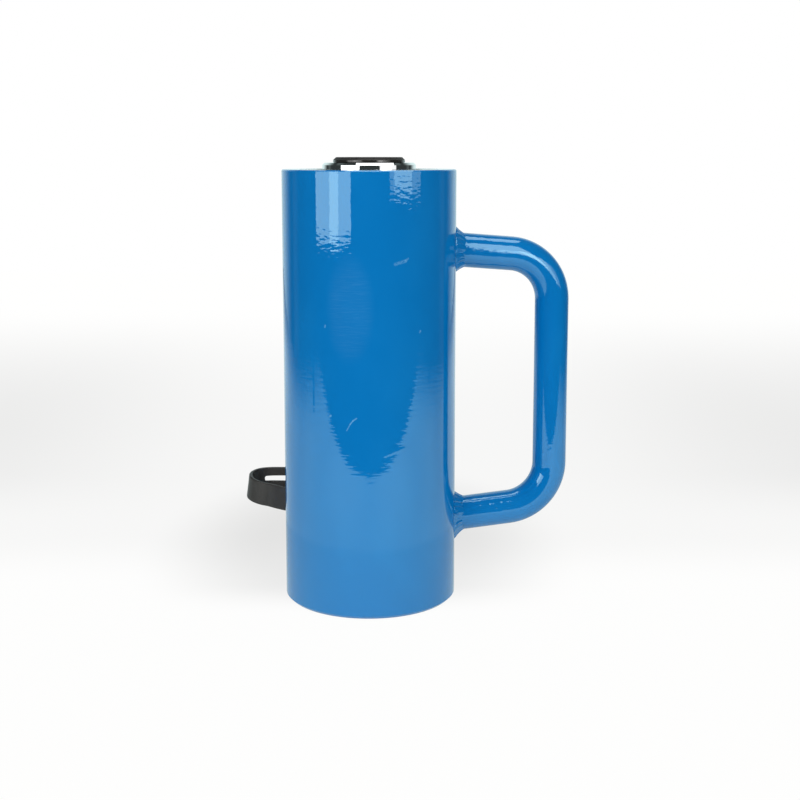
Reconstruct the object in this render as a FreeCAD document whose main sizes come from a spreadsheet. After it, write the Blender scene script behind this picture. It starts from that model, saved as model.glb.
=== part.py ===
import FreeCAD, Part
import os
import re
import Sketcher
from math import cos, pi, sin

# A single acting, spring return hydraulic ram of the 50 t class, in millimetres.
# The origin is the centre of the base. +Z runs up along the plunger, +X points at the carrying
# handle and +Y points along the quick coupler, at the back of the body.

Vector = FreeCAD.Vector
UP = Vector(0, 0, 1)

doc = FreeCAD.newDocument("SpringReturnRam")
sheet = doc.addObject("Spreadsheet::Sheet", "Sizes")

# Every driving dimension, with what it measures.
DIMENSIONS = [
    ("barrel_radius", 63.5, "outside of the body, 5 in across"),
    ("barrel_height", 317.5, "base to the flat top, 12.5 in"),
    ("foot_chamfer", 2.0, "bevel round the base"),
    ("rim_chamfer", 0.8, "bevel round the top"),
    ("bore_radius", 47.625, "honed cylinder bore, 3.75 in across"),
    ("floor_height", 40.0, "thickness of the closed bottom"),
    ("gland_thread_radius", 50.0, "thread that holds the gland ring"),
    ("gland_seat_height", 290.0, "shoulder under that thread"),
    ("bolt_spacing", 95.25, "between the two base mounting holes"),
    ("bolt_hole_radius", 5.4, "base mounting holes, tapped 1/2 in"),
    ("bolt_hole_depth", 19.0, "depth of the base mounting holes"),
    ("port_height", 48.0, "oil port above the base"),
    ("port_thread_radius", 8.6, "3/8 in pipe thread in the wall"),
    ("passage_radius", 3.0, "drilled oil passage"),
    ("spot_face_radius", 17.0, "flat milled round the port"),
    ("spot_face_reach", 61.0, "that flat from the centre line"),
    ("thread_run_out", 1.0, "hole left past the end of a thread"),
    ("cutter_overrun", 5.0, "how far a cutter runs past a surface"),
    ("running_gap", 0.05, "radial play of the running fits"),
    ("gland_base", 285.5, "underside of the gland, the plunger's stop"),
    ("wiper_groove", 4.5, "radial depth of the wiper's seat"),
    ("wiper_height", 7.4, "height of the rod wiper"),
    ("wiper_body_gap", 1.0, "wiper's body clear of the plunger"),
    ("wiper_rim_drop", 0.9, "wiper's outer part below the top"),
    ("wiper_lip_width", 1.8, "root of its lip, off the plunger"),
    ("wiper_edge_drop", 0.1, "lip's edge below the top"),
    ("wiper_edge_width", 1.5, "height of that edge"),
    ("wiper_lip_drop", 3.4, "foot of the lip below the top"),
    ("bearing_depth", 2.45, "radial thickness of the plunger bearing"),
    ("bearing_base", 293.0, "underside of the plunger bearing"),
    ("bearing_height", 10.0, "height of the plunger bearing"),
    ("spanner_hole_circle", 43.5, "radius of the circle of spanner holes"),
    ("spanner_hole_radius", 2.5, "pin spanner holes in the gland"),
    ("spanner_hole_depth", 7.0, "depth of those holes"),
    ("spanner_hole_count", 4, "number of those holes"),
    ("plunger_radius", 34.0, "chromed plunger"),
    ("plunger_top", 322.2, "its end above the base, at rest"),
    ("plunger_chamfer", 1.6, "bevel round that end"),
    ("plunger_bore_radius", 25.0, "hollow that holds the return spring"),
    ("plunger_web_base", 290.0, "underside of the plunger's closed end"),
    ("spigot_radius", 30.0, "turned-down foot that carries the piston"),
    ("spigot_base", 43.0, "lower end of that foot"),
    ("piston_base", 40.5, "underside of the piston at rest"),
    ("piston_top", 82.0, "upper face of the piston at rest"),
    ("skirt_radius", 45.0, "relief under the piston that lets oil in"),
    ("skirt_top", 53.0, "top of that relief"),
    ("skirt_slope", 2.0, "slope between relief and wear band"),
    ("piston_bevel", 1.0, "bevel round the piston's top"),
    ("shoulder_height", 74.0, "where the plunger's shoulder seats"),
    ("wear_band_base", 57.0, "underside of the wear band"),
    ("wear_band_height", 7.0, "height of the wear band"),
    ("wear_band_depth", 2.3, "radial thickness of the wear band"),
    ("seal_base", 67.0, "underside of the cup seal"),
    ("seal_height", 8.0, "height of the cup seal"),
    ("seal_depth", 6.0, "radial depth of the seal groove"),
    ("cup_start", 2.0, "inner lip of the seal, at its foot"),
    ("cup_mouth", 2.0, "hollow between its lips, at their feet"),
    ("cup_depth", 3.2, "depth of that hollow"),
    ("cup_taper", 0.6, "how much each side of it leans"),
    ("seal_edge", 1.5, "height of the lip that meets the bore"),
    ("seal_lip_height", 3.5, "where that lip leaves the seal"),
    ("backup_height", 2.8, "height of the back-up ring"),
    ("lock_ring_base", 46.2, "underside of the piston's lock ring"),
    ("lock_ring_height", 2.7, "height of the lock ring"),
    ("lock_ring_radius", 33.5, "outside of the lock ring"),
    ("lock_ring_relief", 2.0, "room round the lock ring"),
    ("lock_ring_arc", 345, "angle that it covers, in degrees"),
    ("lock_groove_depth", 1.5, "depth of its groove in the foot"),
    ("static_seal_height", 62.0, "O-ring between plunger and piston"),
    ("static_seal_section", 1.28, "section radius of that O-ring"),
    ("static_seal_gap", 0.02, "its clearance in the groove"),
    ("static_groove_half", 1.5, "half the width of that groove"),
    ("anchor_stud_radius", 6.0, "threaded studs of the spring anchors"),
    ("anchor_flange_radius", 21.0, "flanges that the spring ends meet"),
    ("anchor_flange_height", 5.5, "thickness of those flanges"),
    ("anchor_plug_height", 12.5, "plugs that the end coils grip"),
    ("lower_stud_length", 14.0, "stud of the lower anchor"),
    ("upper_stud_length", 9.0, "stud of the upper anchor"),
    ("spring_radius", 19.0, "mean radius of the return spring"),
    ("spring_wire_radius", 2.75, "its wire"),
    ("spring_turns", 21, "its number of turns"),
    ("saddle_radius", 26.2, "lower edge of the saddle"),
    ("saddle_top_radius", 24.5, "upper edge of the saddle"),
    ("saddle_height", 3.95, "thickness of the saddle's disc"),
    ("saddle_bevel", 0.5, "bevels round that disc"),
    ("saddle_waist", 0.1, "hollow round its rim"),
    ("saddle_gap", 0.05, "between saddle and plunger"),
    ("saddle_hole_radius", 12.7, "hole in the plunger for the saddle"),
    ("saddle_hole_depth", 18.0, "depth of that hole"),
    ("saddle_shank_radius", 12.62, "shank of the saddle"),
    ("saddle_shank_length", 16.5, "length of that shank"),
    ("shank_bevel", 1.0, "bevel round the shank's end"),
    ("saddle_groove_depth", 0.8, "grip grooves in its face"),
    ("saddle_groove_width", 1.2, "their width"),
    ("inner_groove_radius", 9.0, "innermost round groove"),
    ("middle_groove_radius", 14.5, "middle round groove"),
    ("outer_groove_radius", 20.0, "outermost round groove"),
    ("radial_groove_count", 12, "grooves that run outwards"),
    ("retainer_drop", 9.0, "retaining ring below the plunger's end"),
    ("retainer_height", 2.0, "height of the retaining ring"),
    ("retainer_depth", 1.3, "radial thickness of that ring"),
    ("retainer_arc", 335, "angle that it covers, in degrees"),
    ("handle_bar_radius", 12.7, "1 in round bar of the handle"),
    ("handle_reach", 138.8, "grip's centre line from the ram's"),
    ("handle_middle", 157.7, "middle of the handle above the base"),
    ("handle_spread", 100.9, "arm above and below that middle"),
    ("handle_droop", 4.8, "slope of the arms, in degrees"),
    ("handle_bend_radius", 34.7, "bends, on the centre line"),
    ("handle_tail", 9.0, "bar left inside the body before coping"),
    ("weld_foot", 5.2, "weld bead's leg on the body"),
    ("weld_leg", 6.3, "weld bead's leg along the bar"),
    ("weld_toe", 0.6, "flare of the bead's toe"),
    ("coupler_thread_radius", 8.5, "coupler's threaded nose"),
    ("coupler_nose_reach", 50.0, "inner end of that nose, from the axis"),
    ("nose_lead", 2.0, "length of the nose's lead-in"),
    ("nose_bevel", 0.5, "radial depth of that lead-in"),
    ("hex_reach", 73.0, "inner face of the coupler's hexagon"),
    ("hex_height", 6.0, "thickness of the hexagon"),
    ("hex_corner_radius", 15.6, "27 mm across its flats"),
    ("hex_bevel", 0.8, "bevel of its corners"),
    ("tube_radius", 11.2, "coupler's tube"),
    ("tube_end", 96.0, "outer end of that tube"),
    ("tube_bevel", 0.6, "bevel round that end"),
    ("chamber_radius", 6.2, "chamber of the poppet"),
    ("chamber_base", 65.0, "inner end of that chamber"),
    ("insert_radius", 8.0, "screwed-in seat of the coupler"),
    ("insert_base", 83.0, "inner end of that seat"),
    ("seat_radius", 3.8, "hole that the poppet closes"),
    ("seat_top", 88.0, "outer face of the web round that hole"),
    ("seat_land", 1.2, "length of that hole"),
    ("seat_cone", 2.1, "cone behind it that the poppet meets"),
    ("mouth_radius", 6.3, "mouth of the coupler"),
    ("mouth_groove", 0.9, "depth of the groove for its seal"),
    ("mouth_seal_grip", 0.5, "how far that seal stands proud"),
    ("coupler_seal_base", 91.0, "inner side of the mouth's seal"),
    ("coupler_seal_width", 2.4, "width of that seal"),
    ("poppet_radius", 5.7, "head of the poppet"),
    ("poppet_tail", 2.5, "tail inside the poppet's spring"),
    ("poppet_back", 1.5, "rear of the head behind the seat"),
    ("poppet_rim", 1.3, "rim of the head inside the seat"),
    ("poppet_stem_radius", 2.4, "stem that a mating half presses"),
    ("poppet_stem_end", 93.0, "outer end of that stem"),
    ("poppet_stem_bevel", 0.5, "bevel round that end"),
    ("poppet_spring_radius", 4.3, "mean radius of the poppet's spring"),
    ("poppet_wire_radius", 0.7, "its wire"),
    ("poppet_spring_turns", 6, "its number of turns"),
    ("collar_radius", 16.0, "outside of the union collar"),
    ("collar_base", 79.5, "inner end of the collar"),
    ("collar_end", 97.0, "outer end of the collar"),
    ("collar_bevel", 0.8, "bevel at both ends"),
    ("collar_web", 6.5, "length of the collar's bearing web"),
    ("collar_thread_radius", 13.5, "thread in the collar's mouth"),
    ("collar_play", 0.06, "radial play of the collar on the tube"),
    ("knurl_depth", 0.7, "depth of the collar's knurling"),
    ("knurl_count", 40, "number of its notches"),
    ("snap_ring_base", 86.3, "inner side of the collar's snap ring"),
    ("snap_ring_width", 1.5, "width of that ring"),
    ("snap_ring_depth", 0.9, "depth of its groove in the tube"),
    ("snap_ring_radius", 12.9, "outside of that ring"),
    ("snap_ring_arc", 330, "angle that it covers, in degrees"),
    ("cap_sleeve_inner", 11.6, "dust cap's sleeve, inside"),
    ("cap_sleeve_outer", 13.1, "dust cap's sleeve, outside"),
    ("cap_sleeve_base", 89.5, "inner end of that sleeve"),
    ("cap_flange_base", 97.4, "inner face of the cap's flange"),
    ("cap_flange_radius", 15.5, "outside of that flange"),
    ("cap_groove_base", 99.3, "inner side of the strap's groove"),
    ("cap_neck_radius", 4.6, "neck in that groove"),
    ("cap_knob_base", 103.7, "inner face of the cap's knob"),
    ("cap_knob_radius", 9.0, "outside of the knob"),
    ("cap_end", 107.0, "outer end of the cap"),
    ("cap_bevel", 0.5, "bevels round flange and knob"),
    ("strap_width", 18.4, "rubber strap, top to bottom"),
    ("strap_thickness", 2.8, "its thickness"),
    ("strap_front", 71.0, "its front run from the ram's axis"),
    ("strap_back", 101.5, "its back run from the ram's axis"),
    ("strap_turn_start", 70.0, "where its runs enter the turn, at -X"),
    ("strap_front_rise", 10.3, "climb of the front run to the turn"),
    ("strap_turn_rise", 6.1, "further climb in the turn"),
    ("strap_lean", 7.5, "lean of the turn, in degrees"),
    ("strap_eye_radius", 14.5, "eye round the coupler's nose"),
    ("strap_tongue_radius", 11.0, "rounded end at the cap"),
    ("strap_eye_play", 0.15, "play of the eye on the nose"),
    ("strap_neck_play", 0.3, "play of the strap on the cap's neck"),
    ("slot_height", 4.5, "slot that lets the strap over the cap"),
    ("slot_start", 69.8, "closed end of the slot, at -X"),
    ("slot_flare", 2.0, "how much it opens towards the cap"),
]
for row, (alias, size, meaning) in enumerate(DIMENSIONS, start=1):
    sheet.set(f"A{row}", meaning)
    sheet.set(f"B{row}", str(size))
    sheet.setAlias(f"B{row}", alias)
doc.recompute()

ALIAS = re.compile(r"[a-z]+_\w+")
ALONG_COUPLER = FreeCAD.Rotation(Vector(1, 0, 0), -90)
finished = {}


def size_of(expression):
    """Number that an expression on the sheet's aliases gives now."""
    return float(sheet.evalExpression(expression))


def linked(expression):
    """The same expression as another object has to write it."""
    return ALIAS.sub(lambda word: "Sizes." + word.group(), expression)


def bind(thing, **expressions):
    for name, expression in expressions.items():
        thing.setExpression(name, linked(expression))


def keep(node):
    """Marks an object as a finished piece, under its own label."""
    finished[node.Label] = node
    return node


def lay(node, x="0", y="0", z="0", rotation=None):
    """Puts an object at a place bound to the sheet."""
    if rotation:
        node.Placement = FreeCAD.Placement(Vector(), rotation)
    for axis, expression in zip("xyz", (x, y, z)):
        if expression != "0":
            node.setExpression(f"Placement.Base.{axis}", linked(expression))
    return node


def along_coupler(node):
    """Turns a piece made about Z so that it lies along the coupler."""
    return lay(node, z="port_height", rotation=ALONG_COUPLER)


def plane_of(body, role):
    return next(feature for feature in body.Origin.OriginFeatures if feature.Role == role)


def sketch_on(body, name, role):
    sketch = body.newObject("Sketcher::SketchObject", name)
    sketch.AttachmentSupport = [(plane_of(body, role), "")]
    sketch.MapMode = "FlatFace"
    return sketch


def pin_point(sketch, edge, end, across, upward):
    """Ties one end of an edge to its two bound coordinates."""
    for kind, axis, expression in (("DistanceX", -2, across), ("DistanceY", -1, upward)):
        if expression == "0":
            sketch.addConstraint(Sketcher.Constraint("PointOnObject", edge, end, axis))
        else:
            rule = Sketcher.Constraint(kind, -1, 1, edge, end, size_of(expression))
            index = sketch.addConstraint(rule)
            sketch.setExpression(f"Constraints[{index}]", linked(expression))


def outline_on(body, name, corners, role="XZ_Plane"):
    """Closed outline of straight edges, each corner bound to the sheet."""
    sketch = sketch_on(body, name, role)
    places = [Vector(size_of(across), size_of(upward), 0) for across, upward in corners]
    following = places[1:] + places[:1]
    for start, end in zip(places, following):
        sketch.addGeometry(Part.LineSegment(start, end))
    count = len(corners)
    for edge in range(count):
        rule = Sketcher.Constraint("Coincident", edge, 2, (edge + 1) % count, 1)
        sketch.addConstraint(rule)
    for edge, (across, upward) in enumerate(corners):
        pin_point(sketch, edge, 1, across, upward)
    return sketch


def circle_on(body, name, across, upward, radius, role="XY_Plane"):
    sketch = sketch_on(body, name, role)
    centre = Vector(size_of(across), size_of(upward), 0)
    sketch.addGeometry(Part.Circle(centre, UP, size_of(radius)))
    pin_point(sketch, 0, 3, across, upward)
    index = sketch.addConstraint(Sketcher.Constraint("Radius", 0, size_of(radius)))
    sketch.setExpression(f"Constraints[{index}]", linked(radius))
    return sketch


def turned(label, corners, arc="360"):
    """Piece turned on a lathe: an outline of (radius, height) corners spun about Z."""
    body = doc.addObject("PartDesign::Body", label)
    sketch = outline_on(body, label + "_outline", corners)
    turning = body.newObject("PartDesign::Revolution", label + "_turning")
    turning.Profile = sketch
    turning.ReferenceAxis = (sketch, ["V_Axis"])
    bind(turning, Angle=f"{arc} * 1 deg")
    return body


def ring(label, inner, outer, base, top, arc="360"):
    """Plain ring of rectangular section."""
    return turned(label, [(inner, base), (outer, base), (outer, top), (inner, top)], arc)


def cut_pocket(body, name, sketch, depth):
    """Pocket that has to take material away."""
    doc.recompute()
    before = body.Shape.Volume
    pocket = body.newObject("PartDesign::Pocket", name)
    pocket.Profile = sketch
    bind(pocket, Length=depth)
    doc.recompute()
    if body.Shape.Volume >= before:
        raise RuntimeError(f"{name} cuts nothing")
    return pocket


def repeat_round(body, name, feature, count):
    """Copies a feature round the body's Z axis."""
    pattern = body.newObject("PartDesign::PolarPattern", name)
    pattern.Originals = [feature]
    pattern.Axis = (feature.Profile[0], ["N_Axis"])
    pattern.Angle = 360
    bind(pattern, Occurrences=count)
    body.Tip = pattern
    return pattern


def rod(name, radius, length):
    cylinder = doc.addObject("Part::Cylinder", name)
    bind(cylinder, Radius=radius, Height=length)
    return cylinder


def drilled(label, base, tools):
    """A base solid with other solids taken out of it, one after another."""
    for count, tool in enumerate(tools, start=1):
        last = count == len(tools)
        cut = doc.addObject("Part::Cut", label if last else f"{label}_cut_{count}")
        cut.Base = base
        cut.Tool = tool
        base = cut
    return base


def coil(label, radius, wire, bottom, height, turns):
    """Round wire wound in a helix about Z, its ends cut square."""
    path = Part.makeHelix(height / turns, height, radius)
    section = Part.Wire([Part.makeCircle(wire, Vector(radius, 0, 0), Vector(0, 1, 0))])
    feature = doc.addObject("Part::Feature", label)
    feature.Shape = Part.Wire(path).makePipeShell([section], True, True)
    feature.Placement = FreeCAD.Placement(Vector(0, 0, bottom), FreeCAD.Rotation())
    return feature


# Body: one forging, bored from the top, with a solid floor.
def make_barrel():
    blank = turned("barrel_blank", [
        ("0", "0"),
        ("barrel_radius - foot_chamfer", "0"),
        ("barrel_radius", "foot_chamfer"),
        ("barrel_radius", "barrel_height - rim_chamfer"),
        ("barrel_radius - rim_chamfer", "barrel_height"),
        ("gland_thread_radius + rim_chamfer", "barrel_height"),
        ("gland_thread_radius", "barrel_height - rim_chamfer"),
        ("gland_thread_radius", "gland_seat_height"),
        ("bore_radius", "gland_seat_height"),
        ("bore_radius", "floor_height"),
        ("anchor_stud_radius + running_gap", "floor_height"),
        ("anchor_stud_radius + running_gap", "floor_height - lower_stud_length - thread_run_out"),
        ("0", "floor_height - lower_stud_length - thread_run_out"),
    ])
    holes = []
    for side, sign in (("handle", ""), ("far", "-")):
        hole = rod(f"bolt_hole_{side}_side", "bolt_hole_radius", "bolt_hole_depth")
        holes.append(lay(hole, x=f"{sign}bolt_spacing / 2"))
    for name, radius, start in (
        ("oil_passage", "passage_radius", "bore_radius - cutter_overrun"),
        ("port_thread", "port_thread_radius", "coupler_nose_reach - thread_run_out"),
        ("spot_face", "spot_face_radius", "spot_face_reach"),
    ):
        hole = rod(name, radius, f"barrel_radius + cutter_overrun - ({start})")
        holes.append(lay(hole, y=start, z="port_height", rotation=ALONG_COUPLER))
    keep(drilled("barrel", blank, holes))


# Gland: a ring screwed flush into the top, which guides the plunger and stops the piston.
def make_gland():
    plunger_hole = "plunger_radius + running_gap"
    wiper_seat = "plunger_radius + wiper_groove"
    bearing_seat = "plunger_radius + bearing_depth + running_gap"
    gland = turned("gland_ring", [
        (plunger_hole, "gland_base"),
        ("bore_radius - running_gap", "gland_base"),
        ("bore_radius - running_gap", "gland_seat_height"),
        ("gland_thread_radius - running_gap", "gland_seat_height"),
        ("gland_thread_radius - running_gap", "barrel_height - rim_chamfer"),
        ("gland_thread_radius - rim_chamfer", "barrel_height"),
        (wiper_seat, "barrel_height"),
        (wiper_seat, "barrel_height - wiper_height"),
        (plunger_hole, "barrel_height - wiper_height"),
        (plunger_hole, "bearing_base + bearing_height"),
        (bearing_seat, "bearing_base + bearing_height"),
        (bearing_seat, "bearing_base"),
        (plunger_hole, "bearing_base"),
    ])
    mark = circle_on(gland, "spanner_hole_mark", "spanner_hole_circle", "0", "spanner_hole_radius")
    bind(mark, **{"AttachmentOffset.Base.z": "barrel_height"})
    hole = cut_pocket(gland, "spanner_hole", mark, "spanner_hole_depth")
    repeat_round(gland, "spanner_holes", hole, "spanner_hole_count")
    keep(gland)

    lip = "plunger_radius + running_gap / 2"
    keep(turned("rod_wiper", [
        ("plunger_radius + wiper_body_gap", "barrel_height - wiper_height"),
        ("plunger_radius + wiper_groove - running_gap", "barrel_height - wiper_height"),
        ("plunger_radius + wiper_groove - running_gap", "barrel_height - wiper_rim_drop"),
        ("plunger_radius + wiper_lip_width", "barrel_height - wiper_rim_drop"),
        (lip, "barrel_height - wiper_edge_drop"),
        (lip, "barrel_height - wiper_edge_drop - wiper_edge_width"),
        ("plunger_radius + wiper_body_gap", "barrel_height - wiper_lip_drop"),
    ]))
    keep(ring(
        "plunger_bearing", lip, "plunger_radius + bearing_depth",
        "bearing_base + running_gap", "bearing_base + bearing_height - running_gap",
    ))


# Plunger: hollow, chromed, closed at the top, with a turned-down foot for the piston.
def make_plunger():
    groove = "spigot_radius - 2 * (static_seal_section + static_seal_gap)"
    keep(turned("plunger", [
        ("plunger_bore_radius", "spigot_base"),
        ("spigot_radius", "spigot_base"),
        ("spigot_radius", "lock_ring_base"),
        ("spigot_radius - lock_groove_depth", "lock_ring_base"),
        ("spigot_radius - lock_groove_depth", "lock_ring_base + lock_ring_height + 2 * running_gap"),
        ("spigot_radius", "lock_ring_base + lock_ring_height + 2 * running_gap"),
        ("spigot_radius", "static_seal_height - static_groove_half"),
        (groove, "static_seal_height - static_groove_half"),
        (groove, "static_seal_height + static_groove_half"),
        ("spigot_radius", "static_seal_height + static_groove_half"),
        ("spigot_radius", "shoulder_height"),
        ("plunger_radius", "shoulder_height"),
        ("plunger_radius", "plunger_top - plunger_chamfer"),
        ("plunger_radius - plunger_chamfer", "plunger_top"),
        ("saddle_hole_radius", "plunger_top"),
        ("saddle_hole_radius", "plunger_top - saddle_hole_depth"),
        ("0", "plunger_top - saddle_hole_depth"),
        ("0", "plunger_web_base + upper_stud_length + thread_run_out"),
        ("anchor_stud_radius + running_gap", "plunger_web_base + upper_stud_length + thread_run_out"),
        ("anchor_stud_radius + running_gap", "plunger_web_base"),
        ("plunger_bore_radius", "plunger_web_base"),
    ]))


# Piston: a ring on the plunger's foot, which carries the moving seals.
def make_piston():
    land = "bore_radius - running_gap"
    keep(turned("piston_head", [
        ("lock_ring_radius + lock_ring_relief", "piston_base"),
        ("skirt_radius", "piston_base"),
        ("skirt_radius", "skirt_top"),
        (land, "skirt_top + skirt_slope"),
        (land, "wear_band_base"),
        (f"{land} - wear_band_depth", "wear_band_base"),
        (f"{land} - wear_band_depth", "wear_band_base + wear_band_height"),
        (land, "wear_band_base + wear_band_height"),
        (land, "seal_base"),
        (f"{land} - seal_depth", "seal_base"),
        (f"{land} - seal_depth", "seal_base + seal_height + backup_height"),
        (land, "seal_base + seal_height + backup_height"),
        (land, "piston_top - piston_bevel"),
        (f"{land} - piston_bevel", "piston_top"),
        ("plunger_radius + running_gap", "piston_top"),
        ("plunger_radius + running_gap", "shoulder_height"),
        ("spigot_radius", "shoulder_height"),
        ("spigot_radius", "lock_ring_base + lock_ring_height"),
        ("lock_ring_radius + lock_ring_relief", "lock_ring_base + lock_ring_height"),
    ]))
    lip = "bore_radius - running_gap / 2"
    root = f"{land} - seal_depth"
    keep(turned("piston_seal", [
        (root, "seal_base"),
        (f"{root} + cup_start", "seal_base"),
        (f"{root} + cup_start + cup_taper", "seal_base + cup_depth"),
        (f"{root} + cup_start + cup_mouth - cup_taper", "seal_base + cup_depth"),
        (f"{root} + cup_start + cup_mouth", "seal_base"),
        (lip, "seal_base"),
        (lip, "seal_base + seal_edge"),
        (land, "seal_base + seal_lip_height"),
        (land, "seal_base + seal_height"),
        (root, "seal_base + seal_height"),
    ]))
    keep(ring(
        "piston_backup_ring", root, lip,
        "seal_base + seal_height", "seal_base + seal_height + backup_height",
    ))
    keep(ring(
        "piston_wear_band", f"{land} - wear_band_depth", lip,
        "wear_band_base", "wear_band_base + wear_band_height",
    ))
    keep(ring(
        "piston_lock_ring", "spigot_radius - lock_groove_depth", "lock_ring_radius",
        "lock_ring_base + running_gap", "lock_ring_base + lock_ring_height", arc="lock_ring_arc",
    ))
    seal = doc.addObject("Part::Torus", "plunger_static_seal")
    bind(seal, Radius1="spigot_radius - static_seal_section - static_seal_gap", Radius2="static_seal_section")
    keep(lay(seal, z="static_seal_height"))


# Return spring: wound round a plug in the floor and one under the plunger's closed end.
def make_return_spring():
    plug = "spring_radius - spring_wire_radius - running_gap"
    floor = "floor_height"
    keep(turned("lower_spring_anchor", [
        ("0", f"{floor} - lower_stud_length"),
        ("anchor_stud_radius", f"{floor} - lower_stud_length"),
        ("anchor_stud_radius", floor),
        ("anchor_flange_radius", floor),
        ("anchor_flange_radius", f"{floor} + anchor_flange_height"),
        (plug, f"{floor} + anchor_flange_height"),
        (plug, f"{floor} + anchor_flange_height + anchor_plug_height"),
        ("0", f"{floor} + anchor_flange_height + anchor_plug_height"),
    ]))
    web = "plunger_web_base"
    keep(turned("upper_spring_anchor", [
        ("0", f"{web} - anchor_flange_height - anchor_plug_height"),
        (plug, f"{web} - anchor_flange_height - anchor_plug_height"),
        (plug, f"{web} - anchor_flange_height"),
        ("anchor_flange_radius", f"{web} - anchor_flange_height"),
        ("anchor_flange_radius", web),
        ("anchor_stud_radius", web),
        ("anchor_stud_radius", f"{web} + upper_stud_length"),
        ("0", f"{web} + upper_stud_length"),
    ]))
    end_gap = "anchor_flange_height + spring_wire_radius + running_gap"
    bottom = size_of(f"floor_height + {end_gap}")
    top = size_of(f"plunger_web_base - ({end_gap})")
    keep(coil(
        "return_spring", size_of("spring_radius"), size_of("spring_wire_radius"),
        bottom, top - bottom, size_of("spring_turns"),
    ))


# Saddle: a hardened disc with a grooved face, on a shank that a wire ring holds in the plunger.
def make_saddle():
    seat = "plunger_top + saddle_gap"
    face = f"{seat} + saddle_height"
    ring_top = "plunger_top - retainer_drop"
    corners = [
        ("0", "plunger_top - saddle_shank_length"),
        ("saddle_shank_radius - shank_bevel", "plunger_top - saddle_shank_length"),
        ("saddle_shank_radius", "plunger_top - saddle_shank_length + shank_bevel"),
        ("saddle_shank_radius", f"{ring_top} - retainer_height"),
        ("saddle_shank_radius - retainer_depth", f"{ring_top} - retainer_height"),
        ("saddle_shank_radius - retainer_depth", ring_top),
        ("saddle_shank_radius", ring_top),
        ("saddle_shank_radius", seat),
        ("saddle_radius - saddle_bevel", seat),
        ("saddle_radius", f"{seat} + saddle_bevel"),
        ("saddle_radius - saddle_waist", f"{seat} + saddle_height / 2"),
        ("saddle_top_radius", f"{face} - saddle_bevel"),
        ("saddle_top_radius - saddle_bevel", face),
    ]
    for radius in ("outer_groove_radius", "middle_groove_radius", "inner_groove_radius"):
        corners += [
            (f"{radius} + saddle_groove_width / 2", face),
            (radius, f"{face} - saddle_groove_depth"),
            (f"{radius} - saddle_groove_width / 2", face),
        ]
    corners.append(("0", face))
    saddle = turned("saddle", corners)
    groove = outline_on(saddle, "radial_groove_mark", [
        ("inner_groove_radius", "-saddle_groove_width / 2"),
        ("saddle_radius + cutter_overrun", "-saddle_groove_width / 2"),
        ("saddle_radius + cutter_overrun", "saddle_groove_width / 2"),
        ("inner_groove_radius", "saddle_groove_width / 2"),
    ], role="XY_Plane")
    bind(groove, **{"AttachmentOffset.Base.z": face})
    pocket = cut_pocket(saddle, "radial_groove", groove, "saddle_groove_depth")
    repeat_round(saddle, "radial_grooves", pocket, "radial_groove_count")
    keep(saddle)
    keep(ring(
        "saddle_retaining_ring", "saddle_shank_radius - retainer_depth",
        "saddle_hole_radius - running_gap / 2",
        f"{ring_top} - retainer_height + 2 * running_gap",
        f"{ring_top} - 2 * running_gap", arc="retainer_arc",
    ))


# Rounded face of a weld bead, as shares of its leg on the body and of its leg along the bar.
BEAD_FACE = ((0.84, 0.42), (0.5, 0.78))


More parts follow.
